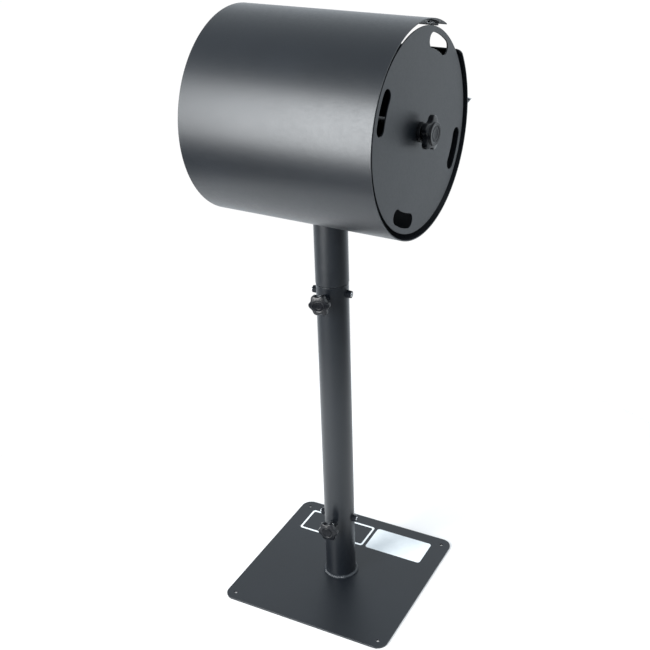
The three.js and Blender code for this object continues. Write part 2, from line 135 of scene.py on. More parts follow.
# ---- Sizes of what the CAD leaves out or shapes more plainly, in millimetres ----
MARKING_INSIDE_CORNER = 3.25
NECK_TO_DRUM = 0.35
STUD_PITCH = 1.0
END_STUD_PITCH = 1.25
SCREW_KEY_FLATS = 3
LIP_CORNER = 3
LOBE_SLOPE = 1.8  # how far the lobes' tips sink below the knob's top
POLE_KNOB = {
    "lobes": 6, "tip": 17.5, "root": 14.4, "tip_round": 5.2, "lobe": radians(8), "hub": 8,
    "hub_length": 5.5, "head": 9, "ring": 10.5, "ring_height": 0.9, "cap": 8, "cap_height": 1.2,
    "bore": 3.2, "bore_depth": 10.3,
}
END_KNOB = {
    "lobes": 5, "tip": 25, "root": 18.6, "tip_round": 7.6, "lobe": radians(2), "hub": 11,
    "hub_length": 5.8, "head": 9, "ring": 16.5, "ring_height": 2.6, "cap": 10.8, "cap_height": 2.7,
    "bore": 4.2, "bore_depth": 10.3,
}


# ---- Materials ----
class Nodes:
    """A shader node tree that is being put together."""

    def __init__(self, owner, coordinate):
        owner.use_nodes = True
        self.tree = owner.node_tree
        self.tree.nodes.clear()
        self.place = self.node("TexCoord").outputs[coordinate]

    def node(self, kind, inputs=None, **settings):
        """A node with these inputs, each one a number or another node's output."""
        made = self.tree.nodes.new("ShaderNode" + kind)
        for key, value in settings.items():
            setattr(made, key, value)
        for key, value in (inputs or {}).items():
            if isinstance(value, bpy.types.NodeSocket):
                self.tree.links.new(value, made.inputs[key])
            else:
                made.inputs[key].default_value = value
        return made

    def maths(self, operation, first, second, clamp=False):
        """One operation on two numbers or outputs. Clamp holds the result between 0 and 1."""
        made = self.node("Math", {0: first, 1: second}, operation=operation, use_clamp=clamp)
        return made.outputs["Value"]


class Graph(Nodes):
    """The node tree of a material."""

    def __init__(self, name):
        self.material = bpy.data.materials.new(name)
        super().__init__(self.material, "Object")

    def noise(self, scale, detail=3.0, roughness=0.55, distortion=0.0, stretch=None):
        """Noise of so many features a metre. Stretch squeezes it along x, y and z."""
        place = self.place
        if stretch:
            place = self.node("Mapping", {"Vector": place, "Scale": stretch}).outputs["Vector"]
        inputs = {"Vector": place, "Scale": scale, "Detail": detail, "Roughness": roughness}
        inputs["Distortion"] = distortion
        return self.node("TexNoise", inputs).outputs["Fac"]

    def remap(self, value, low, high, to_low, to_high):
        """The value stretched from one range to another, and held within it."""
        inputs = {"Value": value, "From Min": low, "From Max": high, "To Min": to_low, "To Max": to_high}
        return self.node("MapRange", inputs).outputs["Result"]

    def mix(self, share, first, second):
        """Two colours mixed. A colour is three numbers or another node's output."""
        colours = []
        for colour in (first, second):
            colours.append(colour if isinstance(colour, bpy.types.NodeSocket) else (*colour, 1.0))
        return self.node("Mix", {0: share, 6: colours[0], 7: colours[1]}, data_type="RGBA").outputs[2]

    def bump(self, height, distance, strength=1.0, normal=None):
        """The surface's normal with this relief on it, its depth in metres."""
        inputs = {"Height": height, "Distance": distance, "Strength": strength}
        if normal is not None:
            inputs["Normal"] = normal
        return self.node("Bump", inputs).outputs["Normal"]

    def edge(self, radius, gain):
        """1 on edges sharper than the radius, in metres, and 0 on open faces."""
        softened = self.node("Bevel", {"Radius": radius}, samples=4).outputs["Normal"]
        true = self.node("NewGeometry").outputs["True Normal"]
        made = self.node("VectorMath", {0: softened, 1: true}, operation="DOT_PRODUCT")
        turned_away = self.maths("SUBTRACT", 1.0, made.outputs["Value"])
        return self.maths("MULTIPLY", turned_away, gain, clamp=True)

    def finish(self, colour, roughness, normal, **more):
        """The material. More sets other inputs of its shader."""
        inputs = {"Base Color": colour, "Roughness": roughness, "Normal": normal, **more}
        shader = self.node("BsdfPrincipled", inputs)
        self.node("OutputMaterial", {"Surface": shader.outputs["BSDF"]})
        return self.material


def powder_coat(name, base, worn, grain=1.0, ior=1.5, satin=0.4):
    """Satin charcoal powder coat: orange peel, fine pigment, handling haze and a thin coat on edges."""
    graph = Graph(name)
    cloud = graph.noise(7, 3.0)
    haze = graph.noise(31, 5.0, 0.6, 0.7)
    peel = graph.noise(430, 2.0, 0.45)
    pigment = graph.noise(2300, 2.0, 0.6)
    rubbed = graph.noise(240, 4.0, 0.65)
    light = tuple(channel * 1.22 for channel in base)
    dark = tuple(channel * 0.84 for channel in base)
    body = graph.mix(graph.remap(cloud, 0.32, 0.68, 0.0, 1.0), dark, light)
    grit = tuple(channel * 2.2 for channel in base)
    speck = graph.mix(graph.remap(pigment, 0.56, 0.72, 0.0, 0.35), body, grit)
    edge = graph.edge(0.0009, 2.2)
    patchy = graph.maths("MULTIPLY", edge, graph.remap(rubbed, 0.42, 0.62, 0.15, 1.0), clamp=True)
    colour = graph.mix(graph.maths("MULTIPLY", patchy, 0.35), speck, worn)
    smooth = graph.remap(haze, 0.3, 0.7, satin - 0.01, satin + 0.01)
    mottle = graph.remap(graph.noise(210, 3.0, 0.6), 0.3, 0.7, -0.022, 0.022)
    speckle = graph.remap(pigment, 0.35, 0.65, -0.02, 0.02)
    roughness = graph.maths("ADD", graph.maths("ADD", smooth, mottle), speckle)
    normal = graph.bump(peel, 0.00005 * grain, 0.55)
    normal = graph.bump(pigment, 0.000012 * grain, 0.5, normal)
    shine = {"Specular Tint": (0.95, 0.98, 1.0, 1.0), "IOR": ior}
    return graph.finish(colour, roughness, normal, **shine)


def moulded_plastic(name, ior):
    """Black glass-filled plastic with a fine spark-eroded texture and rubbed lobes."""
    graph = Graph(name)
    spark = graph.noise(2600, 3.0, 0.65)
    flow = graph.noise(120, 4.0, 0.6, 1.2)
    edge = graph.edge(0.0008, 2.0)
    share = graph.remap(flow, 0.3, 0.7, 0.0, 1.0)
    body = graph.mix(share, (0.0022, 0.0026, 0.0036), (0.0045, 0.0052, 0.007))
    rubbed = graph.maths("MULTIPLY", edge, graph.remap(flow, 0.35, 0.6, 0.3, 1.0), clamp=True)
    colour = graph.mix(graph.maths("MULTIPLY", rubbed, 0.6), body, (0.036, 0.039, 0.044))
    polish = graph.maths("MULTIPLY", rubbed, -0.08)
    roughness = graph.maths("ADD", graph.remap(spark, 0.3, 0.7, 0.26, 0.34), polish)
    normal = graph.bump(spark, 0.00003, 0.6)
    return graph.finish(colour, roughness, normal, IOR=ior)


def zinc_plate(name):
    """Bright zinc over turned steel: fine tool lines, cloudy passivation and a few dull patches."""
    graph = Graph(name)
    cloud = graph.noise(260, 4.0, 0.6)
    tool = graph.noise(1.0, 2.0, 0.5, 0.0, (6500, 6500, 6500))
    dull = graph.noise(700, 3.0, 0.6)
    colour = graph.mix(graph.remap(cloud, 0.35, 0.65, 0.0, 1.0), (0.55, 0.56, 0.58), (0.75, 0.76, 0.77))
    colour = graph.mix(graph.remap(dull, 0.58, 0.75, 0.0, 0.5), colour, (0.22, 0.23, 0.25))
    roughness = graph.remap(cloud, 0.3, 0.7, 0.20, 0.34)
    return graph.finish(colour, roughness, graph.bump(tool, 0.00001, 0.4), Metallic=1.0)


def stainless(name):
    """Brushed stainless strip, with the brush lines along its length."""
    graph = Graph(name)
    brush = graph.noise(1.0, 3.0, 0.6, 0.0, (14, 2600, 2600))
    cloud = graph.noise(45, 3.0)
    colour = graph.mix(graph.remap(brush, 0.3, 0.7, 0.0, 1.0), (0.56, 0.57, 0.58), (0.70, 0.71, 0.72))
    mottle = graph.remap(cloud, 0.3, 0.7, -0.03, 0.03)
    roughness = graph.maths("ADD", graph.remap(brush, 0.3, 0.7, 0.34, 0.48), mottle)
    return graph.finish(colour, roughness, graph.bump(brush, 0.00001, 0.5), Metallic=0.6)


def marking_film(name):
    """White printed film: faint ink mottle with a few greyer spots, and a soft gloss."""
    graph = Graph(name)
    mottle = graph.noise(900, 3.0, 0.6)
    cloud = graph.noise(28, 4.0, 0.6)
    colour = graph.mix(graph.remap(cloud, 0.3, 0.7, 0.0, 1.0), (0.62, 0.66, 0.68), (0.72, 0.76, 0.78))
    colour = graph.mix(graph.remap(mottle, 0.6, 0.75, 0.0, 0.4), colour, (0.55, 0.58, 0.6))
    roughness = graph.remap(mottle, 0.3, 0.7, 0.38, 0.5)
    return graph.finish(colour, roughness, graph.bump(mottle, 0.00001, 0.3))


COAT = (0.0030, 0.0042, 0.0062)
COAT_WORN = (0.05, 0.055, 0.062)
NUT_COAT_WORN = (0.02, 0.022, 0.026)
WELD_COAT = (0.007, 0.009, 0.012)
WELD_COAT_WORN = (0.05, 0.055, 0.06)
NUT_COAT = powder_coat("powder_coat_on_nuts", COAT, NUT_COAT_WORN, grain=1.5, ior=1.3)
CAP_PLASTIC = moulded_plastic("moulded_black_cap_plastic", 1.24)
POLE_COAT = powder_coat("powder_coat_on_the_pole", COAT, COAT_WORN, satin=0.34)
MATERIALS = {
    "powder_coat": powder_coat("powder_coat_satin", COAT, COAT_WORN),
    "weld": powder_coat("powder_coat_over_weld", WELD_COAT, WELD_COAT_WORN, grain=2.5),
    "knob_plastic": moulded_plastic("moulded_black_plastic", 1.34),
    "zinc": zinc_plate("bright_zinc_plate"),
    "stainless": stainless("brushed_stainless"),
    "marking": marking_film("white_marking_film"),
}


# ---- Mesh tools ----
def rounded(points, radius, steps=4, closed=False):
    """A 2-D line with its corners turned into arcs. Radius is one number, or one for each corner."""
    count = len(points)
    radii = radius if isinstance(radius, (list, tuple)) else [radius] * count
    line = []
    for i, point in enumerate(points):
        here = Vector(point)
        if (not closed and i in (0, count - 1)) or radii[i] <= 0:
            line.append(tuple(here))
            continue
        back = Vector(points[i - 1]) - here
        ahead = Vector(points[(i + 1) % count]) - here
        half = back.angle(ahead) / 2
        if half > radians(89):
            line.append(tuple(here))
            continue
        reach = min(radii[i] / tan(half), back.length * 0.48, ahead.length * 0.48)
        start, end = here + back.normalized() * reach, here + ahead.normalized() * reach
        weight = sin(half)
        for k in range(steps + 1):
            t = k / steps
            a, b, c = (1 - t) ** 2, 2 * weight * t * (1 - t), t * t
            line.append(tuple((a * start + b * here + c * end) / (a + b + c)))
    return line


def loft(rings, loop=False, first_tip=None, last_tip=None, open_rings=False):
    """Quads between rings of equal length. Loop joins the last ring to the first, a tip closes an end."""
    count = len(rings[0])
    around = count - 1 if open_rings else count
    verts = [tuple(point) for ring in rings for point in ring]
    faces = []
    for k in range(len(rings) if loop else len(rings) - 1):
        low, high = k * count, ((k + 1) % len(rings)) * count
        for i in range(around):
            j = (i + 1) % count
            faces.append((low + i, low + j, high + j, high + i))
    for tip, base in ((first_tip, 0), (last_tip, (len(rings) - 1) * count)):
        if tip is not None:
            verts.append(tuple(tip))
            faces += [(base + i, base + (i + 1) % count, len(verts) - 1) for i in range(count)]
    return verts, faces


def turned(profile, segments=128):
    """A profile of (radius, height) turned about Z. It closes on itself unless it ends on the axis."""
    least = 1e-6
    tips = [(0, 0, h) for r, h in profile if r < least]
    rings = [ring_of(lambda angle, r=r: r, h, segments) for r, h in profile if r >= least]
    if not tips:
        return loft(rings, loop=True)
    return loft(rings, first_tip=tips[0], last_tip=tips[-1])


def ring_of(radius_at, height, segments):
    """A closed ring of points round Z, its radius a function of the angle."""
    angles = [2 * pi * i / segments for i in range(segments)]
    return [(radius_at(a) * cos(a), radius_at(a) * sin(a), height) for a in angles]


def tube_profile(outer, inner, low, high, rim=0.45):
    """The cross-section of a tube's wall, with rounded rims."""
    return rounded([(inner, low), (outer, low), (outer, high), (inner, high)], rim, 4, closed=True)


def plate_profile(node, rim):
    """Half the cross-section of a round plate that stands across X, from its axis out and back."""
    radius = half_size(node, "y")
    low, high = span(node, "x")
    return rounded([(0, low), (radius, low), (radius, high), (0, high)], rim)


def along_x(height=0.0):
    """Lays a shape built along +Z down along +X: its own +X becomes +Y and its own +Y becomes +Z."""
    return Matrix(((0, 0, 1, 0), (1, 0, 0, 0), (0, 1, 0, height), (0, 0, 0, 1)))


def clamp_place(angle, height):
    """Points a shape built along +Z outwards from the pole at that angle."""
    return Matrix.Translation((0, 0, height)) @ Matrix.Rotation(angle, 4, "Z") @ along_x()


def piece(name, shape, place=None, smooth_below=38, closed=True):
    """A mesh object from (vertices, faces) in millimetres. A closed one has its faces turned outwards."""
    verts, faces = shape
    mesh = bpy.data.meshes.new(name)
    mesh.from_pydata(verts, [], faces)
    if place is not None:
        mesh.transform(place)
    mesh.transform(Matrix.Scale(MM, 4))
    if closed:
        work = bmesh.new()
        work.from_mesh(mesh)
        bmesh.ops.recalc_face_normals(work, faces=work.faces)
        work.to_mesh(mesh)
        work.free()
    mesh.shade_smooth()
    mesh.set_sharp_from_angle(angle=radians(smooth_below))
    made = bpy.data.objects.new(name, mesh)
    bpy.context.scene.collection.objects.link(made)
    return made


def even_normals(item):
    """Shading that follows the large faces, so that rounded rims don't darken them."""
    weighted = item.modifiers.new("even_normals", "WEIGHTED_NORMAL")
    weighted.keep_sharp = True
    weighted.weight = 60


def stands_for(item, *nodes, look=None):
    """The piece replaces these CAD nodes and takes their body, slot and material."""
    slot = SLOT_OF[nodes[0]]
    item.data.materials.append(look or MATERIALS[slot])
    even_normals(item)
    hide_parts(*nodes)
    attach(item, BODY_OF[nodes[0]])
    return item


def fine(node, shape, place=None, smooth_below=38, look=None):
    """The finer mesh of one CAD node."""
    return stands_for(piece(node + "_fine", shape, place, smooth_below), node, look=look)


def flat_plate(name, outlines, low, high, rim):
    """A plate from closed 2-D outlines, the first one outside and the others holes, with rounded rims."""
    curve = bpy.data.curves.new(name, "CURVE")
    curve.dimensions = "2D"
    curve.fill_mode = "BOTH"
    for outline in outlines:
        spline = curve.splines.new("POLY")
        spline.points.add(len(outline) - 1)
        for point, (x, y) in zip(spline.points, outline):
            point.co = (x, y, 0, 1)
        spline.use_cyclic_u = True
    curve.extrude = (high - low) / 2 - rim
    curve.bevel_depth = rim
    curve.bevel_resolution = 2
    curve.offset = -rim
    holder = bpy.data.objects.new(name, curve)
    bpy.context.scene.collection.objects.link(holder)
    bpy.context.view_layer.update()
    made = bpy.data.meshes.new_from_object(holder.evaluated_get(bpy.context.evaluated_depsgraph_get()))
    bpy.data.objects.remove(holder)
    work = bmesh.new()
    work.from_mesh(made)
    bmesh.ops.remove_doubles(work, verts=work.verts, dist=1e-3)
    work.verts.ensure_lookup_table()
    middle = (low + high) / 2
    verts = [(v.co.x, v.co.y, v.co.z + middle) for v in work.verts]
    faces = [tuple(v.index for v in face.verts) for face in work.faces]
    work.free()
    bpy.data.meshes.remove(made)
    return verts, faces


def arc(centre, radius, start, end, steps):
    """Points along an arc, both ends included."""
    cx, cy = centre
    angles = [start + (end - start) * i / steps for i in range(steps + 1)]
    return [(cx + radius * cos(a), cy + radius * sin(a)) for a in angles]


def circle(centre, radius, steps):
    """A full turn, with its last point left off because it would repeat the first."""
    return arc(centre, radius, 0, 2 * pi, steps)[:-1]


def box_outline(left, right, bottom, top, radius, steps=12):
    """A rectangle with rounded corners."""
    corners = [(right, top, 0), (left, top, 1), (left, bottom, 2), (right, bottom, 3)]
    line = []
    for x, y, quarter in corners:
        centre = (x - radius if x == right else x + radius, y - radius if y == top else y + radius)
        line += arc(centre, radius, quarter * pi / 2, (quarter + 1) * pi / 2, steps)
    return line


# ---- Base plate and markings ----
turn_base = Matrix.Rotation(BASE_TURN, 4, "Z")
half_side = PLATE_SIDE / 2
hole_reach = half_side - PLATE_HOLE_INSET
plate_lines = [box_outline(-half_side, half_side, -half_side, half_side, PLATE_CORNER, 16)]
for sx in (-1, 1):
    for sy in (-1, 1):
        plate_lines.append(circle((sx * hole_reach, sy * hole_reach), PLATE_HOLE_RADIUS, 32))
fine("base_plate", flat_plate("base_plate_lines", plate_lines, 0, PLATE_TOP, rim=0.4), turn_base)


def marking_outline(sides, inset=0.0, corner=MARKING_CORNER):
    """The outline of a marking between its left and right sides."""
    bottom, top = MARKING_RISE
    return box_outline(sides[0] + inset, sides[1] - inset, bottom + inset, top - inset, corner)


frame_inside = marking_outline(MARKING_FRAME, MARKING_LINE, MARKING_INSIDE_CORNER)
film_lines = {
    "marking_frame": [marking_outline(MARKING_FRAME), frame_inside],
    "marking_panel": [marking_outline(MARKING_PANEL)],
}
film_low, film_high = span("marking_frame", "z")
for node, lines in film_lines.items():
    fine(node, flat_plate(node + "_lines", lines, film_low, film_high, rim=0.04), turn_base)

# ---- Tubes of the stand ----
fine("pole_tube", turned(tube_profile(*POLE_RADII, *span("pole_tube", "z"), rim=0.5)), look=POLE_COAT)
fine("inner_tube", turned(tube_profile(*INNER_TUBE_RADII, *span("inner_tube", "z"))), look=POLE_COAT)


def drum_underside(y, clearance=0.0):
    """Height of the drum's underside above the floor, at that distance from the drum's middle plane."""
    return DRUM_AXIS - sqrt((DRUM_RADIUS + clearance) ** 2 - y * y)


def neck_shape(segments=144):
    """The neck tube, with its top end cut to the round of the drum."""
    outer, inner = NECK_RADII
    low = span("neck_tube", "z")[0]
    straight = low + 20
    foot = rounded([(inner, straight), (inner, low), (outer, low), (outer, straight)], 0.5, 4)
    rings = [ring_of(lambda a, r=r: r, h, segments) for r, h in foot]
    rim = 0.4
    for radius in (outer, outer - rim, inner + rim, inner):
        drop = rim if radius in (outer, inner) else 0.0
        ring = []
        for i in range(segments):
            angle = 2 * pi * i / segments
            x, y = radius * cos(angle), radius * sin(angle)
            ring.append((x, y, drum_underside(y, NECK_TO_DRUM) - drop))
        rings.append(ring)
    return loft(rings, loop=True)


fine("neck_tube", neck_shape())


# ---- Weld beads ----
def foot_weld(segments=480, section=12):
    """The bead at the pole's foot: overlapping ripples round the tube, a little uneven."""
    inner = POLE_RADII[0] + WELD_GAP
    low = PLATE_TOP + WELD_GAP
    rings = []
    for i in range(segments):
        angle = 2 * pi * i / segments
        swell = 1 + 0.08 * sin(5 * angle + 1) + 0.07 * sin(13 * angle)
        ring = [(inner, low)]
        for k in range(section + 1):
            t = k / section * pi / 2
            ripple = 1 + 0.11 * abs(sin(31 * angle + 0.8 * sin(3 * angle) + 1.1 * cos(t)))
            reach = 0.94 * WELD_SIZE * swell * ripple * (1 + 0.10 * sin(2 * t))
            ring.append((inner + reach * cos(t), low + reach * sin(t)))
        rings.append([(r * cos(angle), r * sin(angle), h) for r, h in ring])
    return loft(rings, loop=True)


def neck_weld(size=3.0, segments=360, section=10):
    """The bead between the neck and the drum, following the saddle line where they meet."""
    outer = NECK_RADII[0] - 0.1
    tuck = 0.15  # its edge lies this far inside the drum's sheet
    rings = []
    for i in range(segments):
        angle = 2 * pi * i / segments
        swell = 1 + 0.06 * sin(4 * angle + 2) + 0.05 * sin(11 * angle)
        corner_y = outer * sin(angle)
        ring = [(outer * cos(angle), corner_y, drum_underside(corner_y) + 0.2)]
        for k in range(section + 1):
            t = k / section * pi / 2
            ripple = 1 + 0.05 * abs(sin(34 * angle + 1.1 * cos(t)))
            reach = size * swell * ripple * (1 + 0.08 * sin(2 * t))
            radius = outer + reach * cos(t)
            y = radius * sin(angle)
            height = drum_underside(y) - reach * sin(t)
            ring.append((radius * cos(angle), y, height + (tuck if k == 0 else 0)))
        rings.append(ring)
    return loft(rings, loop=True)


fine("foot_weld", foot_weld(), smooth_below=70)


# ---- Nuts, screws and studs ----
def hexagon(flats, corner_angle=pi / 2):
    """Radius of a hexagon, by angle."""
    def radius_at(angle):
        from_flat = (angle - corner_angle) % (pi / 3) - pi / 6
        return flats / 2 / cos(from_flat)
    return radius_at


def weld_nut(segments=72):
    """A chamfered hexagon nut whose foot sits on the round of the pole."""
    face = POLE_RADII[0] + NUT_HEIGHT
    bore = STUD_RADIUS + FIT_GAP
    chamfer = NUT_FLATS / 2 * 0.97
    chamfer_slope = tan(radians(30))
    side = hexagon(NUT_FLATS)

    def on_tube(radius_at, lift=0.06):
        """A ring that lies on the round of the pole, lifted off it a little."""
        ring = []
        for x, y, _ in ring_of(radius_at, 0, segments):
            ring.append((x, y, sqrt((POLE_RADII[0] + lift) ** 2 - x * x)))
        return ring

    rings = [on_tube(lambda a: bore)]
    rings.append(ring_of(lambda a: bore, face - 0.5, segments))
    rings.append(ring_of(lambda a: bore + 0.5, face, segments))
    rings.append(ring_of(lambda a: chamfer - 0.3, face, segments))
    for share in (0.0, 0.5, 1.0):
        ring = []
        for i in range(segments):
            angle = 2 * pi * i / segments
            radius = chamfer + (side(angle) - chamfer) * share
            height = face - (radius - chamfer) * chamfer_slope
            ring.append((radius * cos(angle), radius * sin(angle), height))
        rings.append(ring)
    # the fillet of its weld
    rings.append(on_tube(lambda a: side(a) + 0.35, 1.1))
    rings.append(on_tube(lambda a: side(a) + 0.9))
    return loft(rings, loop=True)


def thread(radius, pitch, low, high, depth, segments=28, rows_a_turn=8):
    """Rings of a helical thread that fades out at both ends."""
    rows = max(2, round((high - low) / pitch * rows_a_turn))
    rings = []
    for k in range(rows + 1):
        height = low + (high - low) * k / rows
        fade = min(1.0, (height - low) / pitch, (high - height) / pitch)
        ring = []
        for i in range(segments):
            angle = 2 * pi * i / segments
            phase = (height / pitch - i / segments) % 1.0
            groove = min(1.0, max(0.0, abs(2 * phase - 1) * 1.25 - 0.12))  # crests and roots are flat
            r = radius - depth * groove * fade
            ring.append((r * cos(angle), r * sin(angle), height))
        rings.append(ring)
    return rings


def threaded_rod(radius, pitch, low, high, segments=28):
    """A stud threaded all along, with a chamfer at both ends."""
    depth = 0.54 * pitch
    small = radius - depth
    end = small * 0.8
    rings = [ring_of(lambda a: end, low, segments), ring_of(lambda a: small, low + 0.25, segments)]
    rings += thread(radius, pitch, low + 0.6, high - 0.6, depth, segments)
    rings.append(ring_of(lambda a: small, high - 0.25, segments))
    rings.append(ring_of(lambda a: end, high, segments))
    return loft(rings, first_tip=(0, 0, low), last_tip=(0, 0, high))


def set_screw(standout, segments=36):
    """A socket set screw with a flat point, a chamfered end and a hexagon recess."""
    tip, end = SCREW_TIP, POLE_RADII[0] + standout
    key_floor = end - SCREW_KEY_DEPTH
    key = hexagon(SCREW_KEY_FLATS)
    thread_depth = 0.52
    rings = [ring_of(lambda a: 1.6, tip, segments), ring_of(lambda a: 2.2, tip + 0.5, segments)]
    rings += thread(STUD_RADIUS, STUD_PITCH, tip + 0.7, end - 0.5, thread_depth, segments)
    rings.append(ring_of(lambda a: STUD_RADIUS - 0.55, end, segments))
    rings.append(ring_of(lambda a: key(a) + 0.12, end, segments))
    rings.append(ring_of(key, end - 0.15, segments))
    rings.append(ring_of(key, key_floor + 0.2, segments))
    rings.append(ring_of(lambda a: 1.2, key_floor, segments))
    return loft(rings, first_tip=(0, 0, tip), last_tip=(0, 0, key_floor - 0.4))


# ---- Star knobs, built along +Z from the underside of the hub ----
def star(knob, inset=0.0):
    """Radius of the star outline by angle: round tips joined by hollow arcs."""
    step = 2 * pi / knob["lobes"]
    tip_round = knob["tip_round"]
    tip_centre = knob["tip"] - tip_round
    gap = tip_round - knob["root"]
    hollow_centre = (tip_centre ** 2 - gap ** 2) / (2 * gap + 2 * tip_centre * cos(step / 2))
    hollow = hollow_centre - knob["root"]
    share = tip_round / (tip_round + hollow)
    touch_x = tip_centre + (hollow_centre * cos(step / 2) - tip_centre) * share
    touch_y = hollow_centre * sin(step / 2) * share
    touch = atan2(touch_y, touch_x)

    def radius_at(angle):
        away = abs((angle - knob["lobe"] + step / 2) % step - step / 2)
        if away <= touch:
            return tip_centre * cos(away) + sqrt(tip_round ** 2 - (tip_centre * sin(away)) ** 2) - inset
        rest = step / 2 - away
        return hollow_centre * cos(rest) - sqrt(hollow ** 2 - (hollow_centre * sin(rest)) ** 2) - inset

    return radius_at


def star_knob(knob, segments=240):
    """A star grip: hub, hollow underside, lobes that slope off outwards, a round boss and a cap seat."""
    under, top = knob["hub_length"], knob["hub_length"] + knob["head"]
    middle = under + knob["head"] * 0.45
    ring_low, cap = knob["ring"], knob["cap"] + 0.15
    ring_top = top + knob["ring_height"]
    seat = top - 0.6
    bore, hub = knob["bore"], knob["hub"]
    recess = under + 2.6
    edge = min(2.0, knob["root"] - ring_low - 0.6)

    def lobe_ring(radius_at, height):
        """A ring whose outer points sink, more and more towards the top, so the lobes slope off."""
        rise = max(0.0, (height - middle) / (top - middle))
        points = []
        for x, y, _ in ring_of(radius_at, 0, segments):
            out = max(0.0, (hypot(x, y) - ring_low) / (knob["tip"] - ring_low))
            points.append((x, y, height - LOBE_SLOPE * rise * out**1.5))
        return points

    inner_line = [(bore, knob["bore_depth"]), (bore, 0), (hub, 0), (hub - 0.5, recess)]
    inner_line.append((knob["root"] - 3.4, recess))
    rings = [ring_of(lambda a, r=r: r, h, segments) for r, h in rounded(inner_line, 0.7, 4)]
    side = [(3.1, recess), (2.8, under + 0.5), (2.3, under)]
    for turn in (30, 60, 90):
        side.append((2.0 * (1 - sin(radians(turn))), under + 1.1 * (1 - cos(radians(turn)))))
    side += [(0.0, middle), (0.1, top - edge - 0.6)]
    turns = [radians(x) for x in (0, 18, 36, 54, 72, 90)]
    side += [(0.1 + edge * (1 - cos(t)), top - edge + edge * sin(t)) for t in turns]
    for inset, height in side:
        rings.append(lobe_ring(star(knob, inset), height))
    rim = star(knob, edge + 0.1)
    for share in (0.3, 0.65):
        rings.append(lobe_ring(lambda a: rim(a) * (1 - share) + (ring_low + 0.3) * share, top))
    soft = min(0.9, knob["ring_height"] * 0.6)
    boss = [(ring_low + 0.3, top), (ring_low, top + 0.25), (ring_low - 0.1, ring_top - soft)]
    boss += [(ring_low - 0.1 - soft * (1 - cos(t)), ring_top - soft * (1 - sin(t))) for t in turns[1:]]
    boss += [(cap + 1.2, ring_top - 0.2), (cap + 0.3, ring_top - 0.35), (cap, ring_top - 0.6)]
    boss += [(cap, seat + 0.15), (cap - 0.15, seat)]
    for r, h in boss:
        rings.append(ring_of(lambda a, r=r: r, h, segments))
    return loft(rings, first_tip=(0, 0, knob["bore_depth"] + 0.4), last_tip=(0, 0, seat))


def knob_cap(knob):
    """A slightly crowned cap with a shallow dish in its middle and no mark on it."""
    low = knob["hub_length"] + knob["head"] - 0.55
    high = low + knob["cap_height"]
    r = knob["cap"]
    profile = [(0, low), (r - 0.2, low), (r, low + 0.2), (r, high - 0.75), (r - 0.15, high - 0.4)]
    profile += [(r - 0.5, high - 0.17), (r - 1.1, high - 0.05), (r * 0.72, high), (r * 0.62, high - 0.05)]
    profile += [(r * 0.55, high - 0.22), (r * 0.48, high - 0.3), (r * 0.25, high - 0.34), (0, high - 0.35)]
    return turned(profile, segments=96)


def clamp_set(prefix, height):
    """The nuts, set screws, stud and knob at one end of the pole."""
    sides = {"front": KNOB_ANGLE, **SCREW_ANGLES}
    for side, angle in sides.items():
        place = clamp_place(angle, height)
        fine(f"{prefix}_nut_{side}", weld_nut(), place, smooth_below=25, look=NUT_COAT)
    for side, angle in SCREW_ANGLES.items():
        screw = set_screw(SCREW_STANDOUTS[side])
        fine(f"{prefix}_set_screw_{side}", screw, clamp_place(angle, height), smooth_below=50)
    seat = POLE_RADII[0] + KNOB_STANDOFFS[prefix]
    out = clamp_place(KNOB_ANGLE, height)
    stud = threaded_rod(STUD_RADIUS, STUD_PITCH, SCREW_TIP, seat + STUD_INTO_KNOB)
    fine(f"{prefix}_stud", stud, out, smooth_below=60)
    lift = out @ Matrix.Translation((0, 0, seat))
    fine(f"{prefix}_knob", star_knob(POLE_KNOB), lift, smooth_below=50)
    fine(f"{prefix}_knob_cap", knob_cap(POLE_KNOB), lift, look=CAP_PLASTIC)


clamp_set("lower", LOWER_CLAMP)
clamp_set("upper", UPPER_CLAMP)

# ---- Bent sheets of the drum, built along +Z and laid along +X ----
drum = along_x(DRUM_AXIS)


def sheet_piece(node, skin, thickness, rim):
    """A bent sheet. The skin is its outer face, and modifiers make it thick and round its rims."""
    verts, faces = skin
    a, b, c = (Vector(verts[i]) for i in faces[0][:3])
    if (b - a).cross(c - a).dot(Vector((a.x, a.y, 0))) < 0:
        faces = [tuple(reversed(face)) for face in faces]
    item = piece(node + "_fine", (verts, faces), drum, closed=False)
    solid = item.modifiers.new("thickness", "SOLIDIFY")
    solid.thickness = thickness * MM
    solid.offset = -1
    solid.use_even_offset = True
    bevel = item.modifiers.new("rims", "BEVEL")
    bevel.width = rim * MM
    bevel.segments = 3
    bevel.limit_method = "ANGLE"
    bevel.angle_limit = radians(50)
    return stands_for(item, node)


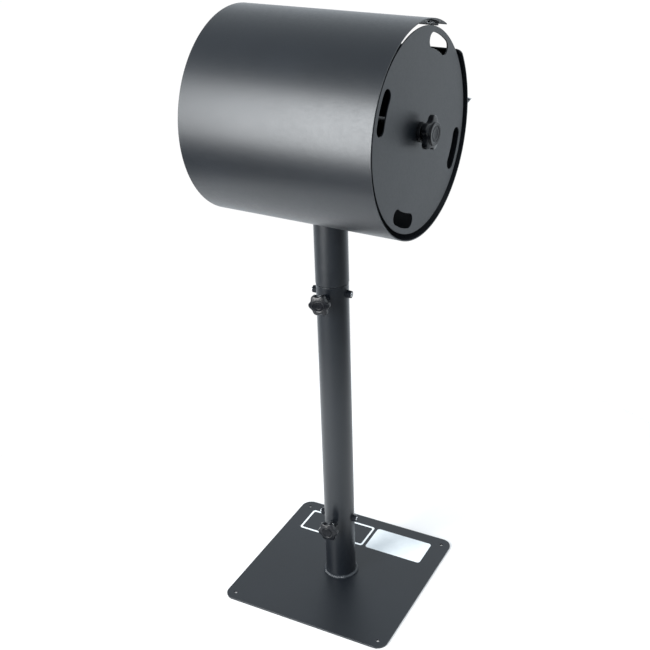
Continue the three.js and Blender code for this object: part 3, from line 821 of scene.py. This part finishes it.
def shell_skin(columns=14, rows=190, corner_steps=8, end_rows=8):
    """The drum's outer skin: one sheet bent round, with its rear window corners rounded."""
    r, corner = DRUM_RADIUS, WINDOW_CORNER
    start = WINDOW_TOP * r
    rear = (2 * pi + WINDOW_REAR) * r
    bends = [corner * sin(pi / 2 * k / corner_steps) for k in range(corner_steps + 1)]
    middle = DRUM_RIGHT - DRUM_LEFT - 2 * corner
    xs = [DRUM_LEFT + corner - bend for bend in reversed(bends)]
    xs += [DRUM_LEFT + corner + middle * k / columns for k in range(1, columns)]
    xs += [DRUM_RIGHT - corner + bend for bend in bends]
    turning = rear - corner - 3  # where the rows draw together for the rounded corners
    rings = []
    for x in xs:
        into = max(0.0, corner - min(x - DRUM_LEFT, DRUM_RIGHT - x))
        end = rear - corner + sqrt(max(0.0, corner**2 - into**2))
        arcs = [start + (turning - start) * k / rows for k in range(rows)]
        arcs += [turning + (end - turning) * k / end_rows for k in range(end_rows + 1)]
        rings.append([(r * cos(s / r), r * sin(s / r), x) for s in arcs])
    return loft(rings, open_rings=True)


def band_skin(radius, start, end, low, high, corner, rows=22, columns=20, corner_steps=5):
    """A strip bent round the drum's axis, with its four corners rounded."""
    bends = [corner * (1 - cos(pi / 2 * k / corner_steps)) for k in range(corner_steps + 1)]
    xs = [low + bend for bend in bends]
    xs += [low + corner + (high - low - 2 * corner) * k / columns for k in range(1, columns)]
    xs += [high - bend for bend in reversed(bends)]
    rings = []
    for x in xs:
        into = max(0.0, corner - min(x - low, high - x))
        cut = (corner - sqrt(max(0.0, corner**2 - into**2))) / radius
        angles = [start + cut + (end - start - 2 * cut) * k / rows for k in range(rows + 1)]
        rings.append([(radius * cos(a), radius * sin(a), x) for a in angles])
    return loft(rings, open_rings=True)


sheet_piece("drum_shell", shell_skin(), SHEET, rim=0.45)
lip_start = WINDOW_TOP - LIP_OVERHANG
lip_radius = DRUM_RADIUS - SHEET - FIT_GAP
lip_skin = band_skin(lip_radius, lip_start, lip_start + LIP_WIDTH, *span("lip_strip", "x"), LIP_CORNER)
sheet_piece("lip_strip", lip_skin, SHEET, rim=0.4)
fine("drum_end_wall", turned(plate_profile("drum_end_wall", rim=0.5), segments=192), drum)


def wall_tacks(count=8, sweep=radians(9), segments=14, section=6):
    """Short weld runs that join the end wall to the shell, in the corner inside the drum."""
    verts, faces = [], []
    sunk = 0.15
    corner_radius = DRUM_RADIUS - SHEET + sunk
    corner_x = span("drum_end_wall", "x")[1] - sunk
    for tack in range(count):
        middle = 2 * pi * (tack + 0.35) / count
        rings = []
        for k in range(segments + 1):
            share = k / segments
            angle = middle + (share - 0.5) * sweep
            size = 2.6 * sin(pi * min(0.94, max(0.06, share))) ** 0.4 * (1 + 0.05 * sin(40 * share))
            ring = [(corner_radius, corner_x)]
            for j in range(section + 1):
                t = pi / 2 * j / section
                ring.append((corner_radius - size * cos(t), corner_x + size * sin(t)))
            rings.append([(r * cos(angle), r * sin(angle), h) for r, h in ring])
        ends = []
        for ring in (rings[0], rings[-1]):
            ends.append(tuple(sum(point[i] for point in ring) / len(ring) for i in range(3)))
        more_verts, more_faces = loft(rings, first_tip=ends[0], last_tip=ends[1])
        faces += [tuple(i + len(verts) for i in face) for face in more_faces]
        verts += more_verts
    return verts, faces


def weld_piece(name, shape, body, place=None):
    """A weld bead that isn't a CAD node of its own."""
    item = piece(name, shape, place, smooth_below=70)
    item.data.materials.append(MATERIALS["weld"])
    even_normals(item)
    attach(item, body)


weld_piece("neck_weld_bead", neck_weld(), BODY_OF["neck_tube"])
weld_piece("end_wall_tacks", wall_tacks(), BODY_OF["drum_end_wall"], drum)


# ---- Rivets ----
def rivet_profile(face, height=1.2, radius=3.5):
    """A domed head with a small rolled edge, its foot at that distance from the axis."""
    edge = 0.25
    turns = [radians(x) for x in range(80, -10, -10)]
    profile = [(0, face), (radius - 0.15, face), (radius, face + 0.1)]
    return profile + [(radius * sin(t), face + edge + (height - edge) * cos(t)) for t in turns]


lip_face = -(lip_radius - SHEET - 0.1)
for number in (1, 2, 3):
    node = f"lip_rivet_{number}"
    tilt = Matrix.Rotation(LIP_RIVET_ANGLE + pi / 2, 4, "X")
    spot = Matrix.Translation((middle_of(node, "x"), 0, DRUM_AXIS)) @ tilt
    fine(node, turned(rivet_profile(lip_face), segments=48), spot)
for number in (1, 2, 3):
    node = f"tear_rivet_{number}"
    tilt = Matrix.Rotation(-pi / 2, 4, "X")
    spot = Matrix.Translation((middle_of(node, "x"), 0, middle_of(node, "z"))) @ tilt
    fine(node, turned(rivet_profile(span(node, "y")[0]), segments=48), spot)


# ---- Tear bar ----
def tear_bar():
    """A flange and a folded edge, bent from one strip with round folds and the same all along."""
    foot, tip = span("tear_bar", "y")
    low, high = (z - DRUM_AXIS for z in span("tear_bar", "z"))
    outline = [(foot, low), (foot + TEAR_THICKNESS, low), (foot + TEAR_THICKNESS, TEAR_FOLD_LOW)]
    outline += [(tip, TEAR_TIP_HEIGHT), (foot, high)]
    # back along the inside of the fold, a sheet's thickness further in
    outline += [(foot, high - 1.3), (tip - 2.6, TEAR_TIP_HEIGHT), (foot, TEAR_FOLD_LOW + 0.9)]
    line = rounded(outline, [0.3, 0.3, 0.9, 0.25, 0.4, 0.4, 0.3, 0.8], 4, closed=True)
    left, right = span("tear_bar", "x")
    middle_y = sum(y for y, z in line) / len(line)
    middle_z = sum(z for y, z in line) / len(line)
    count = 40
    rings = []
    for k in range(count + 1):
        x = left + (right - left) * k / count
        shrink = 0.03 if k in (0, count) else 0.0  # softens both ends
        rings.append([(y + (middle_y - y) * shrink, z + (middle_z - z) * shrink, x) for y, z in line])
    verts, faces = loft(rings)
    size = len(line)
    faces += [tuple(range(size)), tuple(range(count * size, (count + 1) * size))]
    return verts, faces


fine("tear_bar", tear_bar(), drum)

# ---- Spindle ----
fine("spindle_flange", turned(plate_profile("spindle_flange", rim=0.8)), drum)
spindle = tube_profile(*SPINDLE_RADII, *span("spindle_tube", "x"), rim=0.6)
fine("spindle_tube", turned(spindle, segments=96), drum)
insert = tube_profile(*INSERT_RADII, *span("spindle_insert", "x"), rim=0.5)
fine("spindle_insert", turned(insert, segments=96), drum)


# ---- End disc, bush and knob ----
def slot_outline(middle):
    """An arc slot with round ends."""
    half = SLOT_WIDTH / 2
    sweep = SLOT_SPAN / 2 - half / SLOT_MIDDLE_RADIUS
    start, end = middle - sweep, middle + sweep

    def at(angle):
        return SLOT_MIDDLE_RADIUS * cos(angle), SLOT_MIDDLE_RADIUS * sin(angle)

    line = arc((0, 0), SLOT_MIDDLE_RADIUS + half, start, end, 16)
    line += arc(at(end), half, end, end + pi, 14)[1:-1]
    line += arc((0, 0), SLOT_MIDDLE_RADIUS - half, end, start, 16)
    line += arc(at(start), half, start + pi, start + 2 * pi, 14)[1:-1]
    return line


disc_lines = [circle((0, 0), DISC_RADIUS, 192), circle((0, 0), DISC_BORE_RADIUS, 48)]
disc_lines += [slot_outline(SLOT_FIRST + quarter * pi / 2) for quarter in range(4)]
disc_low = span("end_disc", "x")[0]
fine("end_disc", flat_plate("end_disc_lines", disc_lines, disc_low, DISC_FACE, rim=0.4), drum)


def bush_profile():
    """A sleeve through the disc and a flange in front of it with a rounded front edge."""
    low, high = span("disc_bush", "x")
    face = DISC_FACE + FIT_GAP
    outline = [(BUSH_BORE, low), (BUSH_SLEEVE, low), (BUSH_SLEEVE, face)]
    outline += [(BUSH_FLANGE, face), (BUSH_FLANGE, high), (BUSH_BORE, high)]
    return rounded(outline, [0.3, 0.4, 0.3, 0.4, 1.1, 0.4], 4, closed=True)


fine("disc_bush", turned(bush_profile(), segments=96), drum)

end_seat = span("disc_bush", "x")[1] + FIT_GAP
end_low, end_high = span("end_stud", "x")
end_lift = drum @ Matrix.Translation((0, 0, end_seat))
end_stud = threaded_rod(END_STUD_RADIUS, END_STUD_PITCH, end_low, end_high)
fine("end_stud", end_stud, drum, smooth_below=60)
fine("end_knob", star_knob(END_KNOB), end_lift, smooth_below=50)
fine("end_knob_cap", knob_cap(END_KNOB), end_lift, look=CAP_PLASTIC)

# ---- Camera, from a perspective fit to the photo ----
CAMERA_PLACE = (0.7662, -1.2833, 1.2430)  # metres
CAMERA_AZIMUTH = radians(-31.3558)
CAMERA_PITCH = radians(26.9814)
CAMERA_ROLL = radians(-2.0232)
CAMERA_LENS = 59.73

camera = bpy.data.objects.new("camera", bpy.data.cameras.new("camera"))
bpy.context.scene.collection.objects.link(camera)
flat = cos(CAMERA_PITCH)
ahead = Vector((sin(CAMERA_AZIMUTH) * flat, cos(CAMERA_AZIMUTH) * flat, -sin(CAMERA_PITCH)))
level = Vector((cos(CAMERA_AZIMUTH), -sin(CAMERA_AZIMUTH), 0))
above = level.cross(ahead)
right = level * cos(CAMERA_ROLL) + above * sin(CAMERA_ROLL)
upright = above * cos(CAMERA_ROLL) - level * sin(CAMERA_ROLL)
turned_camera = Matrix((right, upright, -ahead)).transposed()
camera.matrix_world = Matrix.Translation(CAMERA_PLACE) @ turned_camera.to_4x4()
camera.data.sensor_width = 36
camera.data.lens = CAMERA_LENS
camera.data.clip_end = 60
bpy.context.scene.camera = camera

# ---- Floor, surroundings and studio light ----
FLOOR_RADIUS = 800  # millimetres, like the drop
FLOOR_DROP = 0.4
FLOOR_SEEN = (0.55, 0.55, 0.55)
FLOOR_GLOW = 0.27
SKY_COLOUR = (0.90, 0.97, 1.03, 1)
SKY_SEEN = 1.02
# brightness above and below the horizon, each half brighter towards one side, an azimuth in degrees
UPPER_LEVEL, UPPER_FALL, UPPER_SIDE, UPPER_GAIN = 1.62, -0.835, 60, 0.5
LOWER_LEVEL, LOWER_SIDE, LOWER_GAIN, LOWER_LEAST = 0.3, -29, 1.5, 0.05
HORIZON_SOFTNESS = 0.04
LIGHT_TARGET = (0, 0, 0.81)  # metres, near the drum's middle


def floor_material():
    """Pale paper to the object's reflections, and nearly white to the camera."""
    graph = Graph("pale_floor")
    cloud = graph.remap(graph.noise(90, 3.0), 0.3, 0.7, 0.0, 1.0)
    paper = graph.mix(cloud, (0.84, 0.84, 0.84), (0.86, 0.86, 0.86))
    seen = graph.node("LightPath").outputs["Is Camera Ray"]
    colour = graph.mix(seen, paper, FLOOR_SEEN)
    roughness = graph.remap(graph.noise(60, 3.0), 0.3, 0.7, 0.75, 0.85)
    glow = {"Emission Color": (1, 1, 1, 1), "Emission Strength": graph.maths("MULTIPLY", seen, FLOOR_GLOW)}
    return graph.finish(colour, roughness, graph.bump(graph.noise(500), 0.0001), **glow)


floor_verts = [(x, y, -FLOOR_DROP) for x, y in circle((0, 0), FLOOR_RADIUS, 128)]
floor = piece("studio_floor", (floor_verts, [tuple(range(len(floor_verts)))]), closed=False)
floor.data.materials.append(floor_material())


class Surroundings(Nodes):
    """The studio round the object, by direction: bright behind, dim in front below the horizon."""

    def __init__(self):
        self.world = bpy.data.worlds.new("studio")
        super().__init__(self.world, "Generated")

    def toward(self, azimuth_deg):
        """1 towards that side, -1 away from it. Azimuth 0 is +Y and 90 is +X."""
        a = radians(azimuth_deg)
        inputs = {0: self.place, 1: (sin(a), cos(a), 0)}
        return self.node("VectorMath", inputs, operation="DOT_PRODUCT").outputs["Value"]

    def ramp(self, value, base, gain):
        """The base plus so much of the value."""
        return self.maths("ADD", self.maths("MULTIPLY", value, gain), base)


sky = Surroundings()
rise = sky.node("SeparateXYZ", {0: sky.place}).outputs["Z"]
upper_side = sky.ramp(sky.toward(UPPER_SIDE), 0.0, UPPER_GAIN)
upper = sky.maths("ADD", sky.ramp(rise, UPPER_LEVEL, UPPER_FALL), upper_side)
lower_side = sky.ramp(sky.toward(LOWER_SIDE), LOWER_LEVEL, LOWER_GAIN)
lower = sky.maths("MAXIMUM", lower_side, LOWER_LEAST)
horizon_inputs = {"Value": rise, "From Min": -HORIZON_SOFTNESS, "From Max": HORIZON_SOFTNESS}
horizon = sky.node("MapRange", horizon_inputs).outputs["Result"]
strength = sky.node("Mix", {0: horizon, 2: lower, 3: upper}, data_type="FLOAT").outputs[0]
lit = sky.node("Background", {"Color": SKY_COLOUR, "Strength": strength})
seen = sky.node("Background", {"Color": (1, 1, 1, 1), "Strength": SKY_SEEN})
path = sky.node("LightPath")
both = sky.node("MixShader", {0: path.outputs["Is Camera Ray"], 1: lit.outputs[0], 2: seen.outputs[0]})
sky.node("OutputWorld", {"Surface": both.outputs[0]})
bpy.context.scene.world = sky.world


def softbox(name, azimuth_deg, elevation_deg, distance, width, height, radiance):
    """A soft rectangular light that looks at the drum's middle. Azimuth 0 is +Y and 90 is +X."""
    data = bpy.data.lights.new(name, "AREA")
    data.shape = "RECTANGLE"
    data.size, data.size_y = width, height
    data.energy = radiance * pi * width * height
    lamp = bpy.data.objects.new(name, data)
    bpy.context.scene.collection.objects.link(lamp)
    a, e = radians(azimuth_deg), radians(elevation_deg)
    away = Vector((sin(a) * cos(e), cos(a) * cos(e), sin(e)))
    facing = away.to_track_quat("Z", "Y").to_matrix().to_4x4()
    lamp.matrix_world = Matrix.Translation(Vector(LIGHT_TARGET) + away * distance) @ facing


softbox("key", azimuth_deg=-158.2, elevation_deg=10.5, distance=2.2, width=1.06, height=2.04, radiance=20.8)

bpy.context.scene.view_settings.view_transform = "Standard"
bpy.context.scene.view_settings.look = "None"
